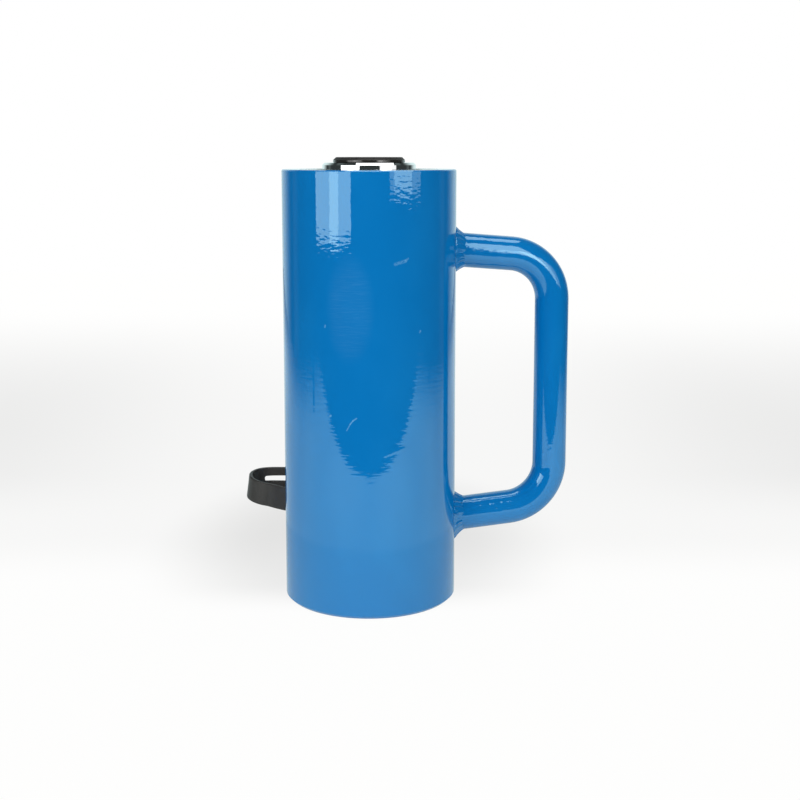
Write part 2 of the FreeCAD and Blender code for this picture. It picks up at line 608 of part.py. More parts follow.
# Carrying handle: one bent bar, its upper half swept and mirrored, its ends coped to the body.
def make_handle():
    bar = doc.addObject("PartDesign::Body", "handle_bar")
    route = sketch_on(bar, "handle_route", "XZ_Plane")
    slope = size_of("handle_droop")
    reach = size_of("handle_reach")
    bend = size_of("handle_bend_radius")
    end = Vector(size_of("barrel_radius - handle_tail"),
                 size_of("handle_spread + handle_tail * tan(handle_droop)"), 0)
    turn = (90 - slope) * pi / 180
    leave = reach - bend + bend * cos(turn)
    bend_height = end.y - (leave - end.x) * size_of("tan(handle_droop)") - bend * sin(turn)
    centre = Vector(reach - bend, bend_height, 0)
    circle = Part.Circle(centre, UP, bend)
    arc = Part.ArcOfCircle(circle, 0, turn)
    route.addGeometry(Part.LineSegment(Vector(reach, 0, 0), Vector(reach, bend_height, 0)))
    route.addGeometry(arc)
    route.addGeometry(Part.LineSegment(arc.EndPoint, end))
    route.addConstraint(Sketcher.Constraint("Tangent", 0, 2, 1, 1))
    route.addConstraint(Sketcher.Constraint("Tangent", 1, 2, 2, 1))
    route.addConstraint(Sketcher.Constraint("Vertical", 0))
    pin_point(route, 0, 1, "handle_reach", "0")
    pin_point(route, 2, 2, "barrel_radius - handle_tail",
              "handle_spread + handle_tail * tan(handle_droop)")
    index = route.addConstraint(Sketcher.Constraint("Radius", 1, bend))
    route.setExpression(f"Constraints[{index}]", linked("handle_bend_radius"))
    index = route.addConstraint(Sketcher.Constraint("Angle", 2, (180 - slope) * pi / 180))
    route.setExpression(f"Constraints[{index}]", linked("(180 - handle_droop) * 1 deg"))

    section = circle_on(bar, "handle_section", "handle_reach", "0", "handle_bar_radius")
    sweep = bar.newObject("PartDesign::AdditivePipe", "handle_upper_half")
    sweep.Profile = section
    sweep.Spine = (route, [])
    mirror = bar.newObject("PartDesign::Mirrored", "handle_both_halves")
    mirror.Originals = [sweep]
    mirror.MirrorPlane = (plane_of(bar, "XY_Plane"), [""])
    bar.Tip = mirror
    lay(bar, z="handle_middle")

    envelope = rod("body_envelope", "barrel_radius", "barrel_height")
    keep(drilled("handle", bar, [envelope]))

    toe = "handle_bar_radius + weld_foot + weld_toe"
    for side, sign in (("upper", "+"), ("lower", "-")):
        corners = [
            ("handle_bar_radius", "-handle_bar_radius"),
            (f"{toe} + weld_toe", "-handle_bar_radius"),
            (toe, "-weld_toe"),
        ]
        for out, along in BEAD_FACE:
            corners.append((f"handle_bar_radius + {out} * weld_foot", f"{along} * weld_leg"))
        corners.append(("handle_bar_radius", "weld_leg"))
        bead = turned(f"weld_ring_{side}", corners)
        lay(bead, x="barrel_radius", z=f"handle_middle {sign} handle_spread",
            rotation=FreeCAD.Rotation(Vector(0, 1, 0), 90))
        bead.setExpression("Placement.Rotation.Angle", linked(f"(90 {sign} handle_droop) * 1 deg"))
        keep(drilled(f"handle_weld_{side}", bead, [envelope]))


# Quick coupler: threaded nose, hexagon and tube in one piece, with a screwed-in seat.
def make_coupler():
    hex_end = "hex_reach + hex_height"
    groove_end = "snap_ring_base + snap_ring_width"
    body = turned("coupler_body", [
        ("passage_radius", "coupler_nose_reach"),
        ("coupler_thread_radius - nose_bevel", "coupler_nose_reach"),
        ("coupler_thread_radius", "coupler_nose_reach + nose_lead"),
        ("coupler_thread_radius", hex_end),
        ("tube_radius", hex_end),
        ("tube_radius", "snap_ring_base"),
        ("tube_radius - snap_ring_depth", "snap_ring_base"),
        ("tube_radius - snap_ring_depth", groove_end),
        ("tube_radius", groove_end),
        ("tube_radius", "tube_end - tube_bevel"),
        ("tube_radius - tube_bevel", "tube_end"),
        ("insert_radius", "tube_end"),
        ("insert_radius", "insert_base"),
        ("chamber_radius", "insert_base"),
        ("chamber_radius", "chamber_base"),
        ("passage_radius", "chamber_base"),
    ])
    body.Label = "coupler_core"
    nut = doc.addObject("Part::Prism", "hexagon_blank")
    nut.Polygon = 6
    bind(nut, Circumradius="hex_corner_radius", Height="hex_height")
    lay(nut, z="hex_reach")
    bevel = turned("hexagon_bevel", [
        ("0", "hex_reach"),
        ("hex_corner_radius - 2 * hex_bevel", "hex_reach"),
        ("hex_corner_radius", "hex_reach + hex_bevel"),
        ("hex_corner_radius", f"{hex_end} - hex_bevel"),
        ("hex_corner_radius - 2 * hex_bevel", hex_end),
        ("0", hex_end),
    ])
    bevelled = doc.addObject("Part::Common", "hexagon_bevelled")
    bevelled.Base = nut
    bevelled.Tool = bevel
    eye = lay(rod("hexagon_eye", "chamber_radius", "hex_height"), z="hex_reach")
    hexagon = drilled("hexagon", bevelled, [eye])
    whole = doc.addObject("Part::MultiFuse", "coupler_whole")
    whole.Label = "coupler_body"
    whole.Shapes = [body, hexagon]
    keep(along_coupler(whole))

    seal_end = "coupler_seal_base + coupler_seal_width"
    insert = turned("coupler_insert", [
        ("seat_radius + seat_cone", "insert_base"),
        ("insert_radius - running_gap", "insert_base"),
        ("insert_radius - running_gap", "tube_end"),
        ("mouth_radius", "tube_end"),
        ("mouth_radius", seal_end),
        ("mouth_radius + mouth_groove", seal_end),
        ("mouth_radius + mouth_groove", "coupler_seal_base"),
        ("mouth_radius", "coupler_seal_base"),
        ("mouth_radius", "seat_top"),
        ("seat_radius", "seat_top"),
        ("seat_radius", "seat_top - seat_land"),
        ("seat_radius + seat_cone", "seat_top - seat_land - seat_cone"),
    ])
    keep(along_coupler(insert))
    seal = ring("coupler_seal", "mouth_radius - mouth_seal_grip", "mouth_radius + mouth_groove",
                "coupler_seal_base", seal_end)
    keep(along_coupler(seal))

    back = "insert_base - poppet_back"
    rim = "insert_base + poppet_rim"
    tail_radius = "poppet_spring_radius - poppet_wire_radius - 2 * running_gap"
    poppet = turned("coupler_poppet", [
        ("0", f"{back} - poppet_tail"),
        (tail_radius, f"{back} - poppet_tail"),
        (tail_radius, back),
        ("poppet_radius", back),
        ("poppet_radius", rim),
        ("poppet_stem_radius", f"{rim} + poppet_radius - poppet_stem_radius"),
        ("poppet_stem_radius", "poppet_stem_end - poppet_stem_bevel"),
        ("poppet_stem_radius - poppet_stem_bevel", "poppet_stem_end"),
        ("0", "poppet_stem_end"),
    ])
    keep(along_coupler(poppet))
    start = size_of("chamber_base + poppet_wire_radius + running_gap")
    end = size_of(f"{back} - poppet_wire_radius - running_gap")
    spring = coil(
        "poppet_spring", size_of("poppet_spring_radius"), size_of("poppet_wire_radius"),
        0, end - start, size_of("poppet_spring_turns"),
    )
    centre_line = Vector(0, start, size_of("port_height"))
    spring.Placement = FreeCAD.Placement(centre_line, ALONG_COUPLER)
    keep(spring)


# Union collar: free to spin on the coupler's tube, knurled, kept on by a snap ring.
def make_collar():
    web_end = "collar_base + collar_web"
    collar = turned("coupler_collar", [
        ("tube_radius + collar_play", "collar_base"),
        ("collar_radius - collar_bevel", "collar_base"),
        ("collar_radius", "collar_base + collar_bevel"),
        ("collar_radius", "collar_end - collar_bevel"),
        ("collar_radius - collar_bevel", "collar_end"),
        ("collar_thread_radius", "collar_end"),
        ("collar_thread_radius", web_end),
        ("tube_radius + collar_play", web_end),
    ])
    notch = outline_on(collar, "knurl_mark", [
        ("collar_radius + running_gap", "-knurl_depth"),
        ("collar_radius + running_gap", "knurl_depth"),
        ("collar_radius - knurl_depth", "0"),
    ], role="XY_Plane")
    bind(notch, **{"AttachmentOffset.Base.z": "collar_end"})
    cut = cut_pocket(collar, "knurl_notch", notch, "collar_end - collar_base")
    repeat_round(collar, "knurling", cut, "knurl_count")
    keep(along_coupler(collar))
    clip = ring(
        "collar_snap_ring", "tube_radius - snap_ring_depth", "snap_ring_radius",
        "snap_ring_base + running_gap", "snap_ring_base + snap_ring_width - running_gap",
        arc="snap_ring_arc",
    )
    keep(along_coupler(clip))


# Dust cap: moulded, a sleeve that pushes over the coupler's tube, and a knob for the strap.
def make_dust_cap():
    cap = turned("dust_cap", [
        ("0", "cap_flange_base"),
        ("cap_sleeve_inner", "cap_flange_base"),
        ("cap_sleeve_inner", "cap_sleeve_base"),
        ("cap_sleeve_outer", "cap_sleeve_base"),
        ("cap_sleeve_outer", "cap_flange_base"),
        ("cap_flange_radius", "cap_flange_base"),
        ("cap_flange_radius", "cap_groove_base - cap_bevel"),
        ("cap_flange_radius - cap_bevel", "cap_groove_base"),
        ("cap_neck_radius", "cap_groove_base"),
        ("cap_neck_radius", "cap_knob_base"),
        ("cap_knob_radius - cap_bevel", "cap_knob_base"),
        ("cap_knob_radius", "cap_knob_base + cap_bevel"),
        ("cap_knob_radius", "cap_end - 2 * cap_bevel"),
        ("cap_knob_radius - 2 * cap_bevel", "cap_end"),
        ("0", "cap_end"),
    ])
    keep(along_coupler(cap))


# Strap of the dust cap: a moulded rubber band that leaves the eye round the coupler's nose
# towards -X, climbs, turns back in a half circle, and comes down slotted to the cap's knob.
FRONT_CURVE = 2.4
BACK_CURVE = 2.2


def strap_path(share):
    """Point, heading and lean of the band's centre line, for a share from 0 to 3."""
    start = size_of("strap_turn_start")
    axis_height = size_of("port_height")
    rise = size_of("strap_front_rise")
    turn_rise = size_of("strap_turn_rise")
    front = size_of("strap_front")
    back = size_of("strap_back")
    radius = (back - front) / 2
    if share <= 1:
        place = Vector(-start * share, front, axis_height + rise * share ** FRONT_CURVE)
        return place, Vector(-1, 0, 0), 0
    if share <= 2:
        angle = (share - 1) * pi
        climb = rise + turn_rise * sin(angle / 2)
        place = Vector(-start - radius * sin(angle), front + radius - radius * cos(angle),
                       axis_height + climb)
        lean = size_of("strap_lean") * sin(angle)
        return place, Vector(-cos(angle), sin(angle), 0), lean
    left = 3 - share
    fall = (rise + turn_rise) * (1 - (1 - left) ** BACK_CURVE)
    return Vector(-start * left, back, axis_height + fall), Vector(1, 0, 0), 0


def turn_band(shares, height, thickness):
    """Bent part of the band: a solid through upright rectangles across its path."""
    sections = []
    for share in shares:
        place, heading, lean = strap_path(share)
        outward = UP.cross(heading) * (thickness / 2)
        upright = FreeCAD.Rotation(heading, -lean).multVec(UP) * (height / 2)
        corners = [place + outward + upright, place - outward + upright,
                   place - outward - upright, place + outward - upright]
        sections.append(Part.makePolygon(corners + corners[:1]))
    return Part.makeLoft(sections, True, False)


def flat_run(shares, heights, thickness):
    """Straight part of the band: its side view, made thick along Y."""
    half = Vector(0, thickness / 2, 0)
    upper, lower = [], []
    for share, height in zip(shares, heights):
        place = strap_path(share)[0] - half
        upper.append(place + UP * (height / 2))
        lower.append(place - UP * (height / 2))
    edges = []
    for rim in (upper, lower):
        curve = Part.BSplineCurve()
        curve.interpolate(rim)
        edges.append(curve.toShape())
    for end in (0, -1):
        edges.append(Part.LineSegment(upper[end], lower[end]).toShape())
    outline = Part.Wire(Part.__sortEdges__(edges))
    return Part.Face(outline).extrude(half * 2)


def make_strap():
    width = size_of("strap_width")
    thickness = size_of("strap_thickness")
    axis_height = size_of("port_height")

    def disc(radius, middle, depth):
        foot = Vector(0, middle - depth / 2, axis_height)
        return Part.makeCylinder(radius, depth, foot, Vector(0, 1, 0))

    steps = [index / 6 for index in range(7)]
    front = flat_run(steps, [width] * 7, thickness)
    turn = turn_band([1 + index / 8 for index in range(9)], width, thickness)
    back = flat_run([2 + step for step in steps], [width] * 7, thickness)
    eye = disc(size_of("strap_eye_radius"), size_of("strap_front"), thickness)
    tongue = disc(size_of("strap_tongue_radius"), size_of("strap_back"), thickness)
    strap = front.fuse([eye, turn, back, tongue])

    slot_share = 3 - size_of("slot_start / strap_turn_start")
    slot_steps = [slot_share + (3 - slot_share) * step for step in steps]
    opening = [size_of("slot_height") + size_of("slot_flare") * step for step in steps]
    strap = strap.cut([
        flat_run(slot_steps, opening, 3 * thickness),
        disc(size_of("coupler_thread_radius + strap_eye_play"), size_of("strap_front"), 3 * thickness),
        disc(size_of("cap_neck_radius + strap_neck_play"), size_of("strap_back"), 3 * thickness),
    ])
    feature = doc.addObject("Part::Feature", "cap_strap")
    feature.Shape = strap
    keep(feature)


def write_pieces():
    """Stops at the first faulty object, then writes each piece to its own file."""
    doc.recompute()
    for thing in doc.Objects:
        if "Invalid" in thing.State or "Error" in thing.State:
            raise RuntimeError(f"{thing.Label} did not build: {thing.State}")
    for label, node in finished.items():
        if node.Shape.isNull() or not node.Shape.isValid() or not node.Shape.Solids:
            raise RuntimeError(f"{label} has no sound solid")
    os.makedirs("parts", exist_ok=True)
    for label, node in finished.items():
        node.Shape.exportStep(f"parts/{label}.step")
        box = node.Shape.BoundBox
        print(f"{label}: {node.Shape.Volume / 1000:.2f} cm3, z {box.ZMin:.2f} to {box.ZMax:.2f}")


make_barrel()
make_gland()
make_plunger()
make_piston()
make_return_spring()
make_saddle()
make_handle()
make_coupler()
make_collar()
make_dust_cap()
make_strap()
write_pieces()
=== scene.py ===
# %% [markdown]
# # A spring return hydraulic ram
# The solids of this ram come ready made from its CAD model, in metres, standing on the origin
# with +Z up and the carrying handle at +X. This lesson gives every solid its finish, models
# the pieces that solids describe poorly (weld beads, springs and a rubber strap), and lights
# the whole as in a small studio.

# %% Load the solids
import random
from math import atan2, cos, hypot, pi, radians, sin, sqrt, tan

import bmesh
import bpy
from mathutils import Matrix, Vector


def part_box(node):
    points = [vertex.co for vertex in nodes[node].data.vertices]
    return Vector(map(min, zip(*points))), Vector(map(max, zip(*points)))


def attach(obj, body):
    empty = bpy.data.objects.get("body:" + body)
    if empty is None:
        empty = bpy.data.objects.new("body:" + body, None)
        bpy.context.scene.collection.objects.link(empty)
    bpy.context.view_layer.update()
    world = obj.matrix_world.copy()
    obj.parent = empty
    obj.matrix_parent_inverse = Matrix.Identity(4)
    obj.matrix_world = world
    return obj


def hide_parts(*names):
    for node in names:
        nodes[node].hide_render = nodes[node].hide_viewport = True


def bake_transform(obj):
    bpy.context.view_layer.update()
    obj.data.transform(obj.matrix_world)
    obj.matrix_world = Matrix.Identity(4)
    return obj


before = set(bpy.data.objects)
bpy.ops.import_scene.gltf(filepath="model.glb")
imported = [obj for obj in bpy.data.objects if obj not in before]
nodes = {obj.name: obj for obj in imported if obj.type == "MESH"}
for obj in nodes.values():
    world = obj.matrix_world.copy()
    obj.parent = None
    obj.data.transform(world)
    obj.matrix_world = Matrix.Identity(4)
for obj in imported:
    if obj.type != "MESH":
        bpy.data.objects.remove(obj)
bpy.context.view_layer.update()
MM = 0.001

# %% [markdown]
# Blender's operators act on whatever is selected, and the loaded solids are all selected at
# first. So each piece starts from a clean selection, and edit mode is entered with exactly the
# points that the next operator should move. A finished piece has its place in its mesh, with
# its object unturned at the origin, which is what apply_place does.

# %% Working habits


def start_clean():
    if bpy.context.object and bpy.context.object.mode != "OBJECT":
        bpy.ops.object.mode_set(mode="OBJECT")
    bpy.ops.object.select_all(action="DESELECT")


def name_new(name):
    piece = bpy.context.object
    piece.name = piece.data.name = name
    return piece


def choose(piece):
    start_clean()
    piece.select_set(True)
    bpy.context.view_layer.objects.active = piece


def apply_place(piece):
    choose(piece)
    bpy.ops.object.transform_apply(location=True, rotation=True, scale=True)


def add_modifier(piece, kind, **settings):
    modifier = piece.modifiers.new(kind.title(), kind)
    for name, value in settings.items():
        setattr(modifier, name, value)
    return modifier


def apply_modifiers(piece):
    choose(piece)
    for modifier in list(piece.modifiers):
        bpy.ops.object.modifier_apply(modifier=modifier.name)


def pick(piece, wanted):
    """In edit mode, selects the points for whose place wanted is true."""
    mesh = bmesh.from_edit_mesh(piece.data)
    for vert in mesh.verts:
        vert.select = wanted(vert.co)
    mesh.select_flush_mode()
    bmesh.update_edit_mesh(piece.data)


def turn_outwards(piece):
    choose(piece)
    bpy.ops.object.mode_set(mode="EDIT")
    bpy.ops.mesh.select_all(action="SELECT")
    bpy.ops.mesh.remove_doubles(threshold=0.00001)
    bpy.ops.mesh.normals_make_consistent(inside=False)
    bpy.ops.object.mode_set(mode="OBJECT")


def shade(piece, angle=40):
    choose(piece)
    bpy.ops.object.shade_smooth_by_angle(angle=radians(angle))


# %% [markdown]
# A finish is a small tree of shader nodes. Written as plain node calls it would be unreadable,
# so two helpers carry the load: Reading wraps a socket, so that sums on what varies over a
# surface can be written as Python expressions, and Finish.node adds any other node from its
# type, its settings and its inputs.

# %% Sums on sockets


class Reading:
    """A socket whose value varies over the surface."""

    def __init__(self, finish, socket):
        self.finish = finish
        self.socket = socket

    def sum(self, operation, *values):
        return self.finish.node("Math", {"operation": operation}, dict(enumerate(values)))

    def __add__(self, other):
        return self.sum("ADD", self, other)

    __radd__ = __add__

    def __sub__(self, other):
        return self.sum("SUBTRACT", self, other)

    def __rsub__(self, other):
        return self.sum("SUBTRACT", other, self)

    def __mul__(self, other):
        return self.sum("MULTIPLY", self, other)

    __rmul__ = __mul__

    def __truediv__(self, other):
        return self.sum("DIVIDE", self, other)

    def __abs__(self):
        return self.sum("ABSOLUTE", self)

    def root(self):
        return self.sum("SQRT", self)

    def larger(self, other):
        return self.sum("MAXIMUM", self, other)

    def smaller(self, other):
        return self.sum("MINIMUM", self, other)

    def fade(self, start, end):
        """0 at start, 1 at end, eased in between."""
        ease = {"interpolation_type": "SMOOTHSTEP"}
        span = {"Value": self, "From Min": start, "From Max": end}
        return self.finish.node("MapRange", ease, span)


def distance(one, other):
    """How far two readings, taken square to each other, lead from where both are 0."""
    return (one * one + other * other).root()


# %% Finishes


class Finish:
    """A material built round one principled shader."""

    def __init__(self, name, color, roughness, metallic=0.0, **constants):
        self.material = bpy.data.materials.new(name)
        self.material.use_nodes = True
        self.tree = self.material.node_tree
        self.shader = self.tree.nodes["Principled BSDF"]
        self.bump = None
        self.set("Base Color", (*color, 1))
        self.set("Roughness", roughness)
        self.set("Metallic", metallic)
        for socket, value in constants.items():
            self.set(socket.replace("_", " "), value)
        self.place = self.node("TexCoord", output="Object")

    def plug(self, socket, value):
        if isinstance(value, Reading):
            self.tree.links.new(value.socket, socket)
        else:
            socket.default_value = value

    def set(self, socket, value):
        self.plug(self.shader.inputs[socket], value)

    def node(self, kind, settings=None, sockets=None, output=0):
        node = self.tree.nodes.new("ShaderNode" + kind)
        for name, value in (settings or {}).items():
            setattr(node, name, value)
        for name, value in (sockets or {}).items():
            self.plug(node.inputs[name], value)
        return Reading(self, node.outputs[output])

    def axes(self):
        """The place on the surface, as three readings in millimetres."""
        split = self.node("SeparateXYZ", sockets={"Vector": self.place})
        outputs = split.socket.node.outputs
        return [Reading(self, output) * (1 / MM) for output in outputs]

    def stretched(self, across, up):
        """The place scaled by cycles per millimetre, level with the floor and upwards."""
        scale = (across / MM, across / MM, up / MM)
        return self.node("VectorMath", {"operation": "MULTIPLY"}, {0: self.place, 1: scale})

    def noise(self, place, detail=2.0, roughness=0.5, seed=0.0):
        shift = {0: place, 1: (seed, seed * 1.7, seed * 0.3)}
        moved = self.node("VectorMath", {"operation": "ADD"}, shift)
        sockets = {"Vector": moved, "Scale": 1.0, "Detail": detail, "Roughness": roughness}
        return self.node("TexNoise", sockets=sockets)

    def mixed(self, share, first, second):
        sockets = {0: share, 6: first, 7: second}
        return self.node("Mix", {"data_type": "RGBA"}, sockets, output=2)

    def tint(self, share, color):
        """Lays another colour over the base colour where share is 1."""
        socket = self.shader.inputs["Base Color"]
        links = socket.links
        under = Reading(self, links[0].from_socket) if links else tuple(socket.default_value)
        self.set("Base Color", self.mixed(share, under, (*color, 1)))

    def emboss(self, height, depth):
        """Raises the surface by depth millimetres where height is 1."""
        sockets = {"Height": height, "Distance": depth * MM, "Strength": 1.0}
        if self.bump:
            sockets["Normal"] = self.bump
        self.bump = self.node("Bump", sockets=sockets)
        self.set("Normal", self.bump)


def dress(finish, *names):
    for name in names:
        materials = nodes[name].data.materials
        materials.clear()
        materials.append(finish.material)


# %% [markdown]
# ## Blue enamel
# The body and handle wear a thick, glossy blue enamel. Gloss paint is never flat: it dries
# with a fine orange peel, and on a turned body it also keeps faint level streaks from the
# machining under it. Both are bumps here, far too small to see except in how they break up
# the edges of reflections, which is exactly how they show on the real thing. The peel is
# coarser near the top and in one run of paint on the left, and on the handle near its welds.

# %% Enamel
BODY_RADIUS = 63.5
PAINT = (0.0008, 0.188, 0.542)
PAINT_LIGHT = (0.0025, 0.203, 0.567)
PAINT_WORN = (0.130, 0.400, 0.720)


def enamel(name):
    finish = Finish(name, PAINT, 0.04, IOR=1.85, Specular_Tint=(0.65, 1.0, 1.0, 1.0))
    patches = finish.noise(finish.stretched(0.018, 0.011), 3.0, 0.55, seed=3.1)
    finish.tint(patches.fade(0.42, 0.68), PAINT_LIGHT)
    return finish


def orange_peel(finish, amount, depth):
    peel = finish.noise(finish.stretched(0.20, 0.36), 1.5, 0.5, seed=7.7)
    finish.emboss(peel * amount, depth)


body_enamel = enamel("blue_enamel_body")
across, along, rise = body_enamel.axes()
turn = body_enamel.node("Math", {"operation": "ARCTAN2"}, {0: across, 1: along * -1})
arc = turn * BODY_RADIUS


def oval(arc_middle, rise_middle, half_width, half_height):
    """On the body's unrolled skin, 0 in the middle of an oval and 1 along its rim."""
    sideways = (arc - arc_middle) / half_width
    upwards = (rise - rise_middle) / half_height
    return sideways * sideways + upwards * upwards


run = oval(-64, 172, 15, 34).fade(1.1, 0.3)
orange_peel(body_enamel, 0.25 + rise.fade(236, 268) * 0.75 + run * 0.6, 0.050)
turning = body_enamel.noise(body_enamel.stretched(0.060, 0.52), 1.0, 0.4, seed=1.3)
grooved = 0.65 + rise.fade(120, 170) * 0.25 - rise.fade(215, 245) * 0.65
body_enamel.emboss(turning * grooved, 0.042)

bar_enamel = enamel("blue_enamel_bar")
from_axis, _, _ = bar_enamel.axes()
orange_peel(bar_enamel, 0.8 + from_axis.fade(112, 86) * 3.0, 0.045)
bar_grain = bar_enamel.noise(bar_enamel.stretched(0.12, 0.12), 2.0, 0.5, seed=4.6)
bar_enamel.set("Roughness", 0.02 + bar_grain * 0.03)
dress(bar_enamel, "handle")
print("enamel:", len(body_enamel.tree.nodes), "nodes")

# %% [markdown]
# A used ram carries a few marks. They are drawn in the body's unrolled skin: arc is the
# distance round it from its front, and rise the height above the base. A scuff is a short line,
# lighter where a sharp edge has burnished the paint. A crease is the same line pressed into
# the surface: it has no colour of its own and shows only where it bends a reflection.

# %% Marks on the body
SCUFFS = [
    ((9.1, 253.5), (16.6, 255.6), 1.1, 0.55),
    ((16.6, 255.6), (18.5, 257.2), 0.7, 0.50),
    ((-25.4, 137.2), (-23.0, 141.7), 0.40, 0.70),
    ((-23.0, 141.7), (-20.9, 144.3), 0.45, 0.85),
    ((-20.9, 144.3), (-18.4, 146.1), 0.50, 0.80),
    ((28.2, 205.2), (28.6, 206.0), 0.70, 0.8),
    ((-41.5, 209.4), (-41.2, 210.6), 0.60, 0.7),
    ((-38.2, 146.5), (-37.4, 146.9), 0.75, 0.8),
]
CREASES = [
    ((1.4, 119.2), (15.4, 123.6), 1.1, 0.040),
    ((-41.4, 287.0), (-41.7, 256.0), 0.6, 0.006),
]


def gap_to(start, end):
    """How far the surface is from a line on the unrolled skin."""
    reach = hypot(end[0] - start[0], end[1] - start[1])
    lead = ((end[0] - start[0]) / reach, (end[1] - start[1]) / reach)
    ahead = (arc - start[0]) * lead[0] + (rise - start[1]) * lead[1]
    beside = (rise - start[1]) * lead[0] - (arc - start[0]) * lead[1]
    outside = (abs(ahead - reach / 2) - reach / 2).larger(0)
    return distance(outside, beside)


ragged = body_enamel.noise(body_enamel.stretched(0.9, 0.9), 2.0, 0.6, seed=5.2)
light = 0.0
for start, end, width, strength in SCUFFS:
    mark = gap_to(start, end).fade(width * 1.5, width * 0.4) * ragged.fade(0.28, 0.52)
    light = mark * strength + light
body_enamel.tint(light.smaller(1), PAINT_WORN)
for start, end, width, depth in CREASES:
    body_enamel.emboss(gap_to(start, end).fade(width * 1.6, 0), depth)
print(len(SCUFFS), "scuffs and", len(CREASES), "creases")

# %% [markdown]
# One oval area near the front has been rubbed. It has gone slightly pale all over, and a
# little paler along the turning lines.

# %% Rubbed patch
rub_grain = body_enamel.noise(body_enamel.stretched(0.07, 1.3), 3.0, 0.7, seed=9.4)
rubbed = oval(-23, 222, 19, 42).fade(1.0, 0.2) * (0.30 + rub_grain.fade(0.44, 0.70) * 0.60)
body_enamel.tint(rubbed * 0.15, PAINT_WORN)
grain = body_enamel.noise(body_enamel.stretched(0.10, 0.30), 2.0, 0.5, seed=2.6)
body_enamel.set("Roughness", 0.012 + grain * 0.02 + rubbed * 0.08 + light * 0.15)
dress(body_enamel, "barrel")
print("body enamel:", len(body_enamel.tree.nodes), "nodes")

# %% [markdown]
# ## Bare metals
# The plunger is hard chrome, ground round and polished, so it mirrors the room with a very
# fine level grain. The turned steel parts show the tool's spiral, which only depends on the
# distance from the axis and the height, so it is drawn from those two alone.

# %% Turned surfaces
PORT = 48.0


def lathe_grain(finish, pitch, seed, coupler=False):
    """Fine lines round a turned piece's axis, upright or the coupler's, one pitch apart."""
    across, along, rise = finish.axes()
    if coupler:
        along, rise = rise - PORT, along
    radius = distance(across, along)
    line_up = finish.node("CombineXYZ", sockets={0: radius / pitch, 1: rise / pitch, 2: seed})
    sockets = {"Vector": line_up, "Scale": 1.0, "Detail": 2.0, "Roughness": 0.6}
    return finish.node("TexNoise", sockets=sockets)


def turned_metal(name, color, roughness, pitch, depth, seed, coupler=False):
    finish = Finish(name, color, roughness, 1.0)
    grain = lathe_grain(finish, pitch, seed, coupler)
    finish.emboss(grain, depth)
    stain = finish.noise(finish.stretched(0.06, 0.06), 3.0, 0.6, seed=seed)
    finish.tint(stain.fade(0.45, 0.80) * 0.5, [channel * 0.82 for channel in color])
    finish.set("Roughness", roughness * 0.8 + grain * (roughness * 0.4))
    return finish


chrome = turned_metal("hard_chrome", (0.80, 0.81, 0.82), 0.045, 0.35, 0.0006, 1.0)
steel = turned_metal("turned_steel", (0.56, 0.565, 0.57), 0.24, 0.30, 0.004, 2.0)
zinc = turned_metal("zinc_plate", (0.66, 0.67, 0.68), 0.30, 0.25, 0.004, 3.0, coupler=True)
brass = turned_metal("turned_brass", (0.72, 0.52, 0.24), 0.26, 0.25, 0.004, 4.0, coupler=True)
dress(chrome, "plunger")
dress(steel, "gland_ring", "piston_head", "lower_spring_anchor", "upper_spring_anchor")
dress(zinc, "coupler_body", "coupler_insert", "coupler_collar")
dress(brass, "coupler_poppet")
print("turned metals dressed")

# %% [markdown]
# The saddle is hardened and blacked. The black is a thin skin, still glossy low on the rim,
# where it mirrors the lamps, and rubbed dull towards the top. Along the upper edges, which
# loads have touched, it is worn a little towards bare steel, in patches that a noise gives.
# The rings and springs of spring steel are dark as well, from oil and heat.

# %% Black oxide and spring steel
black = Finish("black_oxide", (0.020, 0.019, 0.018), 0.20, 0.15, IOR=1.6)
grain = lathe_grain(black, 0.35, 5.0)
black.emboss(grain, 0.005)
across, along, rise = black.axes()
wear = black.noise(black.stretched(0.35, 0.35), 4.0, 0.65, seed=8.0)
edge = rise.fade(325.5, 326.1) * wear.fade(0.48, 0.70)
black.tint(edge * 0.30, (0.16, 0.15, 0.14))
dull = rise.fade(324.0, 324.6)
black.set("Roughness", 0.12 + wear * 0.12 + dull * 0.50)

spring_steel = Finish("spring_steel", (0.16, 0.16, 0.17), 0.36, 0.9)
oil = spring_steel.noise(spring_steel.stretched(0.25, 0.25), 3.0, 0.6, seed=6.0)
spring_steel.tint(oil.fade(0.45, 0.75), (0.09, 0.085, 0.08))
spring_steel.set("Roughness", 0.26 + oil * 0.25)
spring_steel.emboss(oil, 0.010)
dress(black, "saddle")
dress(spring_steel, "saddle_retaining_ring", "piston_lock_ring", "collar_snap_ring")
print("black oxide and spring steel dressed")

# %% [markdown]
# ## Rubber and plastic
# Moulded parts are matt with a fine even grain. Old rubber also greys in soft patches where
# dust and handling have dulled it, and the strap is coloured lighter towards its left end, in
# its bend.

# %% Moulded finishes


def moulded(name, color, dusty, roughness, grain_pitch, depth, seed):
    finish = Finish(name, color, roughness, 0.0)
    per_mm = 1 / grain_pitch
    grain = finish.noise(finish.stretched(per_mm, per_mm), 2.0, 0.6, seed=seed)
    dust = finish.noise(finish.stretched(0.07, 0.07), 4.0, 0.6, seed=seed + 2)
    finish.emboss(grain, depth)
    finish.tint(dust.fade(0.42, 0.74), dusty)
    finish.set("Roughness", roughness - 0.08 + grain * 0.16)
    return finish


